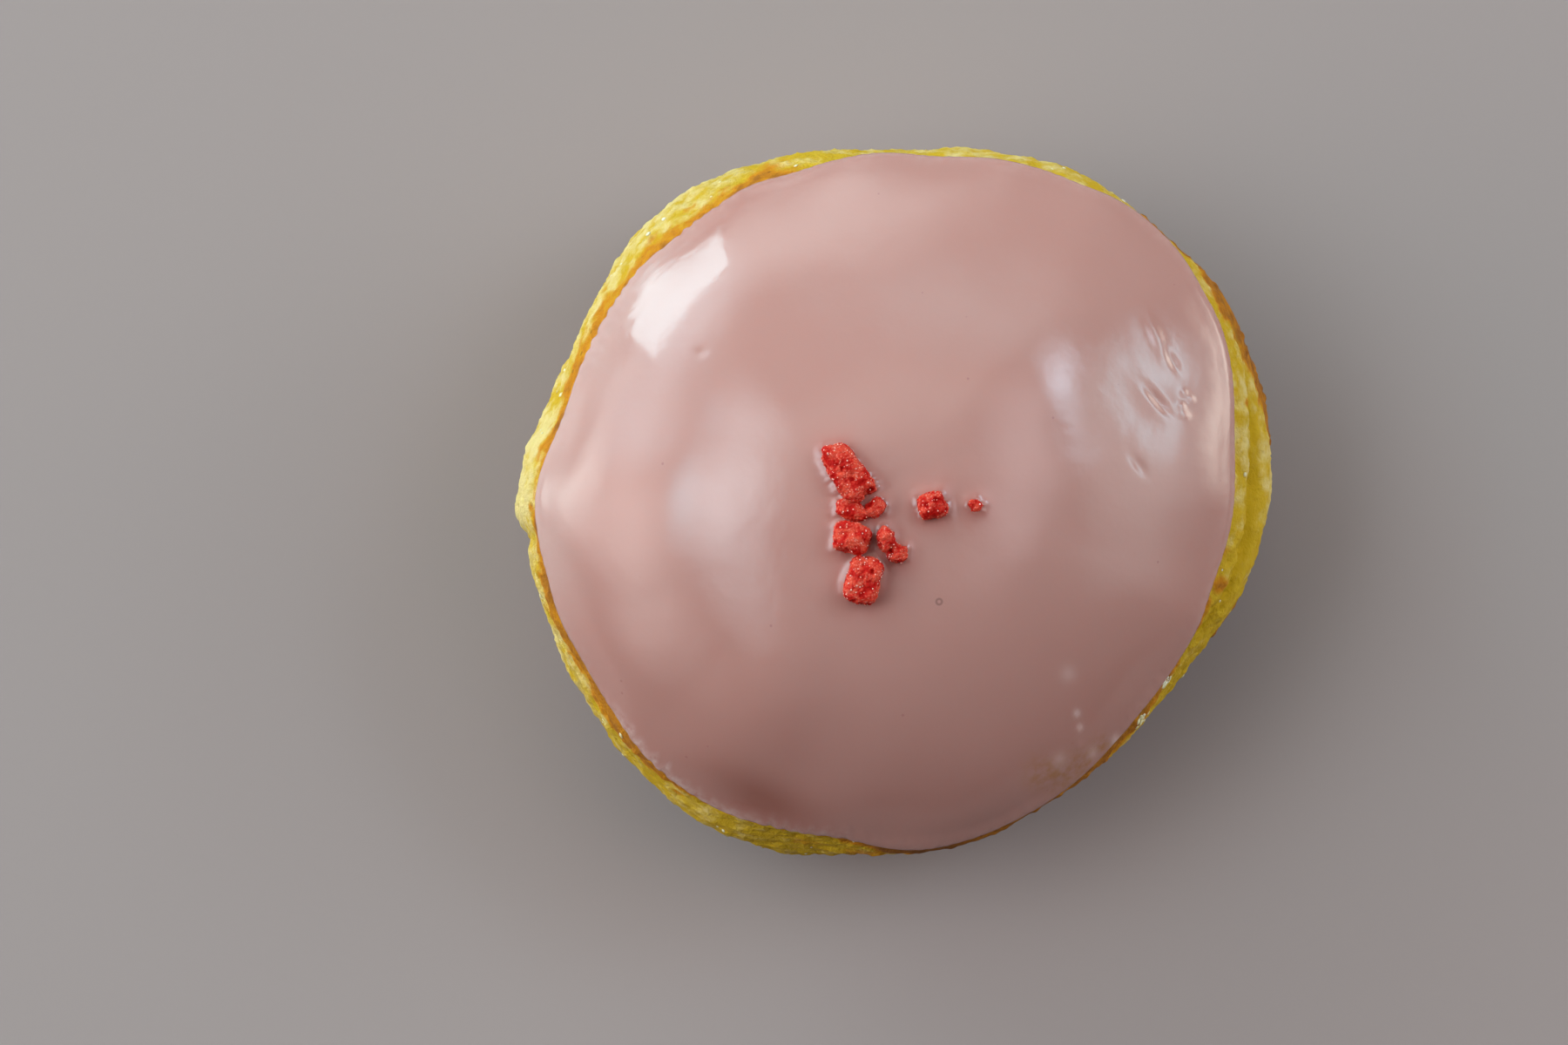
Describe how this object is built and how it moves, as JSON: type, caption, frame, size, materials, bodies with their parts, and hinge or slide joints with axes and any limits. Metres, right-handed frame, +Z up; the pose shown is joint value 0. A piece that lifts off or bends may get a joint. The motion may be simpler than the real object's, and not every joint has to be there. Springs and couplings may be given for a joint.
{
  "type": "sprinkle frosted doughnut",
  "caption": "Round filled-style fried doughnut without a hole, frosted over its crown, with a small cluster of dried fruit crumbs on top.",
  "frame": {"origin": "under the middle of the outline, on the surface that the doughnut rests on", "axes": "+Z up through the crown, +X to the right and +Y away from the viewer as it lies"},
  "size_m": [0.0858, 0.0806, 0.0461],
  "materials": {
    "dough": "fried crust, pale and rough round the waist, browned above and below it",
    "frosting": "smooth, set, glossy frosting",
    "fruit_crumbs": "porous dried fruit, dull with fine sparkles",
    "flecks": "dry flecks of sugar and flour"
  },
  "bodies": {
    "root": {"dough": "dough", "frosting": "frosting"}
  },
  "joints": []
}
